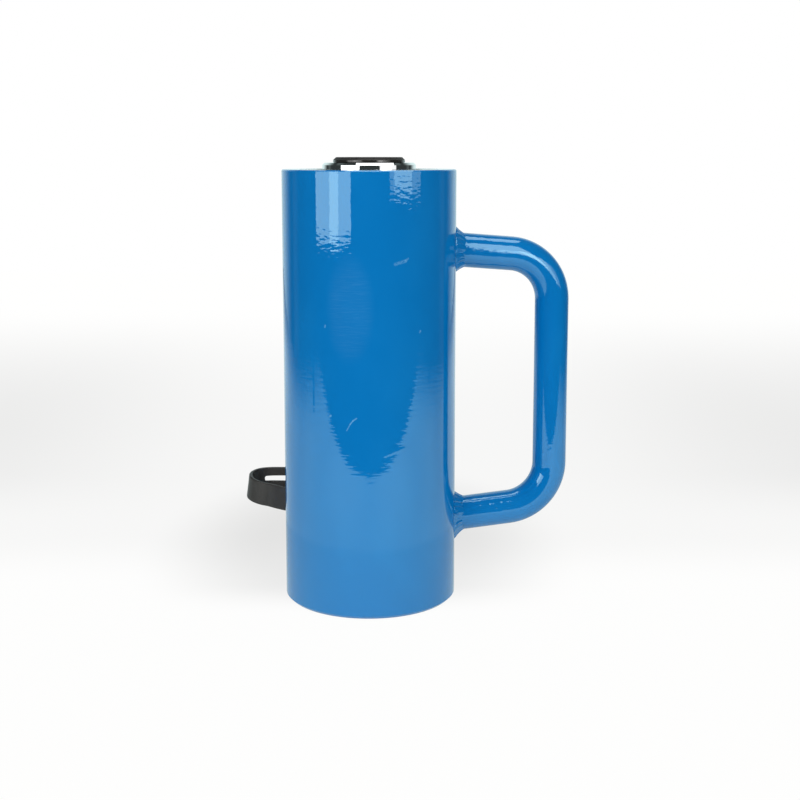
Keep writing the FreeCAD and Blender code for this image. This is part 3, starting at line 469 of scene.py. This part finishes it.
seal_rubber = moulded(
    "seal_rubber", (0.022, 0.022, 0.022), (0.034, 0.033, 0.032), 0.42, 0.5, 0.01, 11
)
strap_rubber = moulded(
    "strap_rubber", (0.032, 0.029, 0.026), (0.048, 0.045, 0.042), 0.42, 0.6, 0.03, 13
)
cap_plastic = moulded(
    "cap_plastic", (0.020, 0.020, 0.022), (0.030, 0.030, 0.031), 0.34, 0.4, 0.02, 15
)
bearing = moulded(
    "bearing_plastic", (0.30, 0.26, 0.19), (0.24, 0.21, 0.16), 0.50, 0.7, 0.01, 17
)
across, _, _ = strap_rubber.axes()
strap_rubber.tint(across.fade(-84, -64) * 0.8, (0.072, 0.064, 0.056))
dress(seal_rubber, "rod_wiper", "piston_seal", "plunger_static_seal", "coupler_seal")
dress(bearing, "plunger_bearing", "piston_backup_ring", "piston_wear_band")
dress(cap_plastic, "dust_cap")
print("moulded finishes dressed")

# %% [markdown]
# ## Weld beads
# Two fillet welds join the handle to the body. A hand-laid fillet is a row of overlapping
# crescents, never quite alike, that slopes from the wall down to the bar. Each bead starts as
# an open cone round the bar with one side for each crescent. Subdivided, it is first shaped
# section by section round the bar, each lifted or sunk like its part of a crescent. Then the
# rings are turned a little, the middle one most, which bows the crescents.

# %% Beads
BAR_RADIUS = 12.7
HANDLE_MIDDLE = 157.7
HANDLE_SPREAD = 100.9
DROOP = radians(4.8)
CRESCENTS = 24
CUTS = 4
ON_WALL, ON_BAR = 5.6, 7.6
BURIED = 1.2
SWELL, SLIP, OVERLAP = 0.50, 0.80, 0.80
HOLLOW = 0.05


def weld_bead(name, sign, seed):
    rng = random.Random(seed)
    slope = ON_WALL / ON_BAR
    length = ON_BAR + 2 * BURIED
    start_clean()
    bpy.ops.mesh.primitive_cone_add(
        vertices=CRESCENTS, end_fill_type="NOTHING", depth=length * MM,
        location=(ON_BAR / 2 * MM, 0, 0), rotation=(0, pi / 2, 0),
        radius1=(BAR_RADIUS + ON_WALL + BURIED * slope) * MM,
        radius2=(BAR_RADIUS - BURIED * slope) * MM,
    )
    bead = name_new(name)
    apply_place(bead)
    bpy.ops.object.mode_set(mode="EDIT")
    bpy.ops.mesh.select_all(action="SELECT")
    bpy.ops.mesh.subdivide(number_cuts=CUTS)
    sections = CRESCENTS * (CUTS + 1)
    swell = [rng.uniform(-SWELL, SWELL) for _ in range(CRESCENTS)]
    slip = [rng.uniform(-SLIP, SLIP) for _ in range(CRESCENTS)]

    def pick_section(angle):
        def near(place):
            turned = atan2(place.y, place.z) - angle
            return abs((turned + pi) % (2 * pi) - pi) < pi / sections
        pick(bead, near)

    for section in range(sections):
        crescent, step = divmod(section, CUTS + 1)
        pick_section(2 * pi * section / sections)
        rise_here = swell[crescent] + OVERLAP * (step / CUTS - 0.5)
        lift = 1 + rise_here / (BAR_RADIUS + ON_WALL / 2)
        bpy.ops.transform.resize(value=(1, lift, lift), center_override=(0, 0, 0))
    for row in range(CUTS + 2):
        share = row / (CUTS + 1)
        reach = length * share - BURIED
        pick(bead, lambda place: abs(place.x / MM - reach) < 0.5)
        hollow = 1 - HOLLOW * sin(pi * share)
        bpy.ops.transform.resize(value=(1, hollow, hollow), center_override=(0, 0, 0))
        bow = 4 * share * (1 - share) * pi / CRESCENTS
        bpy.ops.transform.rotate(value=bow, orient_axis="X", center_override=(0, 0, 0))
    for section in range(sections):
        angle = 2 * pi * section / sections
        pick_section(angle)
        aside = (BAR_RADIUS + ON_WALL / 2) * sin(angle)
        up = (BAR_RADIUS + ON_WALL / 2) * cos(angle)
        wall = sqrt(BODY_RADIUS ** 2 - aside ** 2) - BODY_RADIUS - up * tan(sign * DROOP)
        inward = (wall + slip[section // (CUTS + 1)]) * MM
        bpy.ops.transform.translate(value=(inward, 0, 0))
    bpy.ops.object.mode_set(mode="OBJECT")
    bead.location = Vector((BODY_RADIUS, 0, HANDLE_MIDDLE + sign * HANDLE_SPREAD)) * MM
    bead.rotation_euler.y = sign * DROOP
    apply_place(bead)
    return bead


beads = [weld_bead("weld_bead_upper", 1, 21), weld_bead("weld_bead_lower", -1, 22)]
for bead in beads:
    print(bead.name, len(bead.data.polygons), "faces")

# %% [markdown]
# The open cone gets a thickness, whose inner side lies hidden in the body and the bar. The
# beads are under the same enamel as the rest, which fills their crescents a little: a light
# subdivision rounds them, and a slight grain keeps the paint from looking poured.

# %% Paint the beads
bead_enamel = enamel("blue_enamel_weld")
spatter = bead_enamel.noise(bead_enamel.stretched(0.40, 0.40), 3.0, 0.6, seed=6.6)
bead_enamel.emboss(spatter, 0.20)
bead_enamel.set("Roughness", 0.05 + spatter * 0.06)
for bead in beads:
    add_modifier(bead, "SOLIDIFY", thickness=3.0 * MM, offset=-1)
    add_modifier(bead, "SUBSURF", levels=1, render_levels=1)
    apply_modifiers(bead)
    turn_outwards(bead)
    shade(bead, 60)
    bead.data.materials.append(bead_enamel.material)
    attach(bead, "root")
    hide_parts(bead.name.replace("weld_bead", "handle_weld"))
    print(bead.name, [round(side / MM, 1) for side in bead.dimensions])

# %% [markdown]
# ## Springs
# A coil spring is one round section wound up an axis, which is what the Screw modifier does:
# it turns the section round Z and lifts it by one pitch a turn. The open ends are closed in
# edit mode.

# %% Wind a spring


def wound_spring(name, radius, wire, low, high, turns, steps, sides):
    start_clean()
    bpy.ops.mesh.primitive_circle_add(
        vertices=sides, radius=wire * MM, location=(radius * MM, 0, low * MM),
        rotation=(pi / 2, 0, 0),
    )
    spring = name_new(name)
    apply_place(spring)
    add_modifier(
        spring, "SCREW", axis="Z", angle=2 * pi, iterations=turns,
        screw_offset=(high - low) / turns * MM, steps=steps, render_steps=steps,
    )
    apply_modifiers(spring)
    bpy.ops.object.mode_set(mode="EDIT")
    bpy.ops.mesh.select_mode(type="EDGE")
    bpy.ops.mesh.select_all(action="DESELECT")
    bpy.ops.mesh.select_non_manifold()
    bpy.ops.mesh.edge_face_add()
    bpy.ops.object.mode_set(mode="OBJECT")
    turn_outwards(spring)
    shade(spring)
    spring.data.materials.append(spring_steel.material)
    return spring


# %% Return spring
low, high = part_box("return_spring")
wire = 2.75
return_spring = wound_spring(
    "return_spring_coil", 19.0, wire, low.z / MM + wire, high.z / MM - wire, 21, 28, 10
)
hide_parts("return_spring")
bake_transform(return_spring)
print("return spring", len(return_spring.data.polygons), "faces")

# %% Poppet spring
low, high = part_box("poppet_spring")
wire = 0.7
poppet_spring = wound_spring(
    "poppet_spring_coil", 4.3, wire, low.y / MM + wire, high.y / MM - wire, 6, 24, 8
)
on_its_side = Matrix.Rotation(-pi / 2, 4, "X")
poppet_spring.matrix_world = Matrix.Translation((0, 0, PORT * MM)) @ on_its_side
apply_place(poppet_spring)
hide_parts("poppet_spring")
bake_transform(poppet_spring)
print("poppet spring", [round(side / MM, 1) for side in poppet_spring.dimensions])

# %% [markdown]
# ## The dust cap's strap
# The strap is one flat rubber moulding: an eye that sits round the coupler, a band, a long
# slot and a rounded tongue that grips the cap's neck. In use it is bent back on itself. So it
# is modelled flat, as it comes out of its mould, and then bent with a Curve modifier. The
# curve is the line that its middle follows: away behind the body, climbing a little, round a
# half circle at the left, and back down to the cap.

# %% Line of the strap
FRONT, BACK = 71.0, 101.5
TURN_START = 70.7
FRONT_RISE, TURN_RISE = 10.3, 6.1
TURN_RADIUS = (BACK - FRONT) / 2
LEAN = radians(7.5)

line_points = []
for step in range(8):
    share = step / 8
    line_points.append((-TURN_START * share, FRONT, PORT + FRONT_RISE * share ** 2.4, 0))
for step in range(9):
    angle = pi * step / 8
    height = PORT + FRONT_RISE + TURN_RISE * sin(angle / 2)
    line_points.append((
        -TURN_START - TURN_RADIUS * sin(angle), FRONT + TURN_RADIUS - TURN_RADIUS * cos(angle),
        height, LEAN * sin(angle),
    ))
for step in range(1, 9):
    left = 1 - step / 8
    fall = (FRONT_RISE + TURN_RISE) * (1 - (1 - left) ** 2.2)
    line_points.append((-TURN_START * left, BACK, PORT + fall, 0))

start_clean()
bpy.ops.curve.primitive_bezier_curve_add()
line = name_new("strap_line")
line.data.dimensions = "3D"
line.data.twist_mode = "Z_UP"
line.data.resolution_u = 24
spline = line.data.splines[0]
spline.bezier_points.add(len(line_points) - 2)
for point, (x, y, z, lean) in zip(spline.bezier_points, line_points):
    point.co = Vector((x, y, z)) * MM
    point.tilt = lean
    point.handle_left_type = point.handle_right_type = "AUTO"
bpy.context.view_layer.update()
strap_length = spline.calc_length() / MM
print("strap, eye to tongue:", round(strap_length, 1), "mm")

# %% [markdown]
# The flat moulding is cut out of simple solids with Boolean modifiers. A voxel remesh then
# turns the result into small even faces, which bend cleanly, and a little smoothing gives the
# soft edges of moulded rubber.

# %% Cutting tools


def disc(name, radius, along, depth):
    """A flat cylinder on the strap's middle line, its axis through the band."""
    start_clean()
    bpy.ops.mesh.primitive_cylinder_add(
        vertices=96, radius=radius * MM, depth=depth * MM,
        location=(along * MM, 0, 0), rotation=(pi / 2, 0, 0),
    )
    piece = name_new(name)
    apply_place(piece)
    return piece


def slab(name, start, end, start_height, end_height, depth):
    """A bar along the strap's middle line, as high at each end as its two heights say."""
    start_clean()
    bpy.ops.mesh.primitive_cube_add(size=1, location=((start + end) / 2 * MM, 0, 0))
    piece = name_new(name)
    piece.scale = ((end - start) * MM, depth * MM, start_height * MM)
    apply_place(piece)
    bpy.ops.object.mode_set(mode="EDIT")
    pick(piece, lambda place: place.x > (start + end) / 2 * MM)
    flare = end_height / start_height
    bpy.ops.transform.resize(value=(1, 1, flare), center_override=(end * MM, 0, 0))
    bpy.ops.object.mode_set(mode="OBJECT")
    return piece


def carve(base, tool, operation):
    """Joins the tool to the base, or cuts it away, and clears the tool."""
    add_modifier(base, "BOOLEAN", object=tool, operation=operation, solver="EXACT")
    apply_modifiers(base)
    bpy.data.objects.remove(tool)


# %% Flat strap
STRAP_WIDTH, STRAP_THICKNESS = 18.4, 2.8
THROUGH = 9
SLOT_LENGTH = 75.5
SLOT_HEIGHTS = 3.9, 6.5

strap = slab("cap_strap_band", 0, strap_length, STRAP_WIDTH, STRAP_WIDTH, STRAP_THICKNESS)
carve(strap, disc("eye", 14.5, 0, STRAP_THICKNESS), "UNION")
carve(strap, disc("tongue", 11.0, strap_length, STRAP_THICKNESS), "UNION")
carve(strap, disc("eye_hole", 8.65, 0, THROUGH), "DIFFERENCE")
carve(strap, disc("neck_hole", 4.9, strap_length, THROUGH), "DIFFERENCE")
slot = slab("slot", strap_length - SLOT_LENGTH, strap_length, *SLOT_HEIGHTS, THROUGH)
carve(strap, slot, "DIFFERENCE")
print("flat strap:", len(strap.data.polygons), "faces")

# %% [markdown]
# Once bent, the strap has its eye on the fixed coupler and its tongue on the cap that pulls
# off.

# %% Bend it
add_modifier(strap, "REMESH", mode="VOXEL", voxel_size=0.62 * MM)
add_modifier(strap, "SMOOTH", factor=0.5, iterations=3)
apply_modifiers(strap)
add_modifier(strap, "CURVE", object=line, deform_axis="POS_X")
apply_modifiers(strap)
bpy.data.objects.remove(line)
turn_outwards(strap)
shade(strap, 60)
strap.data.materials.append(strap_rubber.material)
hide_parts("cap_strap")
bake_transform(strap)
sides = [round(side / MM, 1) for side in strap.dimensions]
print("strap:", len(strap.data.polygons), "faces", sides)

# %% [markdown]
# ## Studio
# Gloss paint and chrome show the room more than themselves, so the room matters: a white table
# that ends a little in front of the ram, darkness beyond its edge, white paper behind, one
# soft light on each side and one above. The photographer's own direction is turned slightly
# from the ram's, so places in the room are given from there.

# %% Room directions
VIEW_TURN = radians(-9.5)


def in_room(right, away, up):
    """A place given from the photographer's side, in metres."""
    return Matrix.Rotation(VIEW_TURN, 3, "Z") @ Vector((right, away, up))


# %% Table
TABLE_FRONT, TABLE_BACK, TABLE_HALF = -0.468, 2.6, 1.12
CORNER = 0.16

start_clean()
bpy.ops.mesh.primitive_plane_add(size=1)
table = name_new("table")
table.scale = (2 * TABLE_HALF, TABLE_BACK - TABLE_FRONT, 1)
apply_place(table)
bpy.ops.object.mode_set(mode="EDIT")
pick(table, lambda place: place.y < 0)
bpy.ops.mesh.bevel(offset=CORNER, segments=8, affect="VERTICES")
bpy.ops.object.mode_set(mode="OBJECT")
table.location = in_room(0, (TABLE_BACK + TABLE_FRONT) / 2, 0)
table.rotation_euler.z = VIEW_TURN
apply_place(table)

print("table edge at", TABLE_FRONT)

# %% [markdown]
# The table is laid with white paper. Lamps strong enough to bring it to the white of the
# background would bleach the ram, so the paper has its own glow, which only the camera and
# reflections see, and which lights nothing. How bright it is, with 1 for white, is worked out
# from two readings in millimetres: right is the way to the photographer's right, and away the
# way from the photographer, both from the ram's middle.

# %% Paper
paper = Finish("white_paper", (0.94, 0.94, 0.93), 0.7)
fibre = paper.noise(paper.stretched(0.02, 0.02), 3.0, 0.5, seed=1.0)
paper.tint(fibre.fade(0.4, 0.7) * 0.3, (0.92, 0.93, 0.93))
across, along, _ = paper.axes()
right = across * cos(VIEW_TURN) + along * sin(VIEW_TURN)
away = along * cos(VIEW_TURN) - across * sin(VIEW_TURN)
far = away.fade(300, 900)

# %% [markdown]
# Seen straight, the paper has a little painted shade behind the ram, more out at the flanks,
# and is white again far away. A painted shade of the ram lies round its foot, longer to the
# back.

# %% Paper as it is seen
# Painted shade: each of these dims the paper's glow where shade would fall.
painted_shade_dip = away.fade(10, 150) - away.fade(480, 1750)
painted_flank_shade = abs(right).fade(120, 520) * away.fade(150, 380)
painted_foot_shade = distance(right + 12, (away - 125) * (1 / 1.5)).fade(190, 76) * away.fade(-55, 15)
level_seen = 1 - painted_shade_dip * (0.055 + painted_flank_shade * 0.10) - painted_foot_shade * 0.165

# %% [markdown]
# The ram mirrors the paper from low down. There it has painted shade towards the table's sides
# and right round the ram, and a painted shadow of the ram behind it, up to where the far paper
# is lit again. In front, on both sides, the panels lay a painted sheen on it.

# %% Paper as it is mirrored
# Painted shade, a painted shadow and a painted sheen on the paper's glow in reflections.
painted_side_shade = abs(right).fade(560, 1180) * (0.92 - far * 0.20)
painted_shade_round_ram = 0.86 + distance(right, away).fade(214, 226) * 0.14
painted_shadow_behind = (away.fade(-90, 110) - far) * 0.22
painted_sheen = distance(abs(right) - 230, away + 400).fade(290, 60) * 0.18
level_mirrored = (1 - painted_side_shade) * painted_shade_round_ram * (1 - painted_shadow_behind) * (1 + painted_sheen)

# %% [markdown]
# A mixing node stops at a share of 1, and the painted sheen is brighter than white. So the
# share is a level on a scale that ends at BRIGHTEST, and the white that it leads to is as much
# stronger.
# The mirrored white is a little cool, as the enamel's own reflections are.

# %% Paper's glow
BRIGHTEST = 1.25
WHITE_SEEN, WHITE_MIRRORED = (1, 1, 0.995), (0.86, 1, 1)

seen = paper.node("LightPath", output="Is Camera Ray")
mirrored = paper.node("LightPath", output="Is Glossy Ray")
level = seen * level_seen + mirrored * level_mirrored
whites = [
    (*[channel * BRIGHTEST for channel in white], 1) for white in (WHITE_SEEN, WHITE_MIRRORED)
]
tone = paper.mixed(level * (1 / BRIGHTEST), (0, 0, 0, 1), paper.mixed(mirrored, *whites))
glow = paper.node("Emission", sockets={"Color": tone, "Strength": 1.0})
share = seen * (0.97 + away.fade(500, 1900) * 0.03) + mirrored
blend = paper.node("MixShader", sockets={
    0: share, 1: Reading(paper, paper.shader.outputs[0]), 2: glow,
})
paper.tree.links.new(blend.socket, paper.tree.nodes["Material Output"].inputs["Surface"])
table.data.materials.append(paper.material)
print("white paper:", len(paper.tree.nodes), "nodes")

# %% [markdown]
# Two light stands reach into the table on the left and right. Only their dark feet matter, as
# thin upright lines where the body mirrors the table's sides.

# %% Stands


def stand(name, right, away, width, height):
    start_clean()
    bpy.ops.mesh.primitive_cube_add(
        size=1, location=in_room(right, away, height / 2), scale=(width, width, height),
    )
    post = name_new(name)
    post.visible_camera = False
    post.data.materials.append(cap_plastic.material)
    apply_place(post)


stand("left_stand", -0.79, -0.21, 0.035, 0.090)
stand("right_stand", 0.96, -0.10, 0.030, 0.060)
print("two stands")

# %% [markdown]
# The world is the paper behind and the dark in front. Seen by the camera it is white all
# round. In reflections it is white only well behind the ram, with one dim strip of light wall
# on each side, all a little cool. As light on the ram it is weak and even, so that the lamps
# do the modelling.

# %% World's nodes
world = bpy.data.worlds.new("studio")
bpy.context.scene.world = world
world.use_nodes = True
tree = world.node_tree
background = tree.nodes["Background"]


def world_node(kind, settings=None, sockets=None, output=0):
    node = tree.nodes.new("ShaderNode" + kind)
    for name, value in (settings or {}).items():
        setattr(node, name, value)
    for name, value in (sockets or {}).items():
        if isinstance(value, bpy.types.NodeSocket):
            tree.links.new(value, node.inputs[name])
        else:
            node.inputs[name].default_value = value
    return node.outputs[output]


def world_sum(operation, *values):
    return world_node("Math", {"operation": operation}, dict(enumerate(values)))


# %% World
AMBIENT, DARK, WALL, PAPER_BEHIND = 0.16, 0.045, 0.07, 0.92
COOL_WHITE = (0.82, 1, 1, 1)
sockets = {0: world_node("TexCoord", output="Generated"), 1: in_room(0, 1, 0)}
behind = world_node("VectorMath", {"operation": "DOT_PRODUCT"}, sockets, "Value")


def world_step(start, end, brightness):
    """0 before start, then up to brightness at end, along the way from front to back."""
    span = {"Value": behind, "From Min": start, "From Max": end, "To Max": brightness}
    return world_node("MapRange", {"interpolation_type": "SMOOTHSTEP"}, span)


wall = world_sum("SUBTRACT", world_step(0.22, 0.36, WALL), world_step(0.42, 0.48, WALL))
room_front = world_sum("ADD", wall, DARK)
in_mirror = world_sum("ADD", world_step(0.52, 0.90, PAPER_BEHIND), room_front)
seen = world_node("LightPath", output="Is Camera Ray")
mirrored = world_node("LightPath", output="Is Glossy Ray")
above_ambient = world_sum("SUBTRACT", in_mirror, AMBIENT)
unseen = world_sum("MULTIPLY_ADD", mirrored, above_ambient, AMBIENT)
strength = world_sum("MAXIMUM", seen, unseen)
tree.links.new(strength, background.inputs["Strength"])
sockets = {0: mirrored, 6: (1, 1, 1, 1), 7: COOL_WHITE}
color = world_node("Mix", {"data_type": "RGBA"}, sockets, 2)
tree.links.new(color, background.inputs["Color"])
print("world:", len(tree.nodes), "nodes")

# %% [markdown]
# Each lamp is a soft box whose size and height come from its mirror image in the body: a wide
# panel on each side, with a brighter core where its bulb sits, a tall one high on the right,
# and one above. A lamp's power is spread over its area, so the brightness that the mirror
# image should have, against white paper as 1, gives the power: brightness times pi times
# area. The light that the room throws back from the front has no shape in the reflections, so
# that one lamp is left out of them.

# %% Soft boxes


def soft_box(name, azimuth, distance, low, width, height, brightness):
    """A lamp that faces the ram; azimuth runs to the photographer's right, in degrees."""
    turn = radians(azimuth)
    lamp = bpy.data.lights.new(name, "AREA")
    lamp.shape = "RECTANGLE"
    lamp.size, lamp.size_y = width, height
    lamp.energy = brightness * pi * width * height
    holder = bpy.data.objects.new(name, lamp)
    bpy.context.scene.collection.objects.link(holder)
    place = in_room(distance * sin(turn), -distance * cos(turn), low + height / 2)
    holder.location = place
    outwards = Vector((place.x, place.y, 0))
    holder.rotation_euler = outwards.to_track_quat("Z", "Y").to_euler()
    holder.visible_camera = False
    return holder


soft_box("left_panel", -46.0, 1.30, 0.180, 1.16, 0.47, 2.4)
soft_box("left_core", -44.0, 1.27, 0.180, 0.27, 0.47, 1.6)
soft_box("right_panel", 48.5, 1.30, 0.264, 1.02, 0.44, 1.15)
soft_box("right_core", 45.0, 1.27, 0.264, 0.54, 0.44, 1.5)
soft_box("right_upper", 36.2, 1.40, 0.340, 0.385, 1.50, 3.1)
soft_box("room", -18.0, 1.60, 0.500, 1.60, 1.20, 2.3).visible_glossy = False
top_box = soft_box("top_box", 0, 0, 1.40, 0.92, 0.50, 2.8)
top_box.location = in_room(0.14, 0.15, 1.40)
top_box.rotation_euler = (0, 0, VIEW_TURN)
print("lamps:", [light.name for light in bpy.data.lights])

# %% [markdown]
# ## Camera
# The camera stands almost a metre away, level with the top of the ram, and looks down by eight
# degrees. The frame is shifted so that the upright edges keep the slight taper they have in
# the picture. The focal length and the shift are in pixels of a square frame.

# %% Camera
FRAME, FOCAL_LENGTH, SHIFT = 800, 1285, -64
SENSOR = 36
LOOKING_DOWN = radians(8.15)

camera_data = bpy.data.cameras.new("camera")
camera_data.sensor_width = SENSOR
camera_data.lens = SENSOR * FOCAL_LENGTH / FRAME
camera_data.shift_y = SHIFT / FRAME
camera_data.clip_start = 0.01
camera_data.clip_end = 50
camera = bpy.data.objects.new("camera", camera_data)
bpy.context.scene.collection.objects.link(camera)
camera.location = in_room(0.02245, -0.941, 0.3299)
camera.rotation_euler = (pi / 2 - LOOKING_DOWN, 0, VIEW_TURN)
bpy.context.scene.camera = camera
bpy.context.scene.view_settings.view_transform = "Standard"
print("camera at", [round(value, 4) for value in camera.location])

# %% Finish
start_clean()
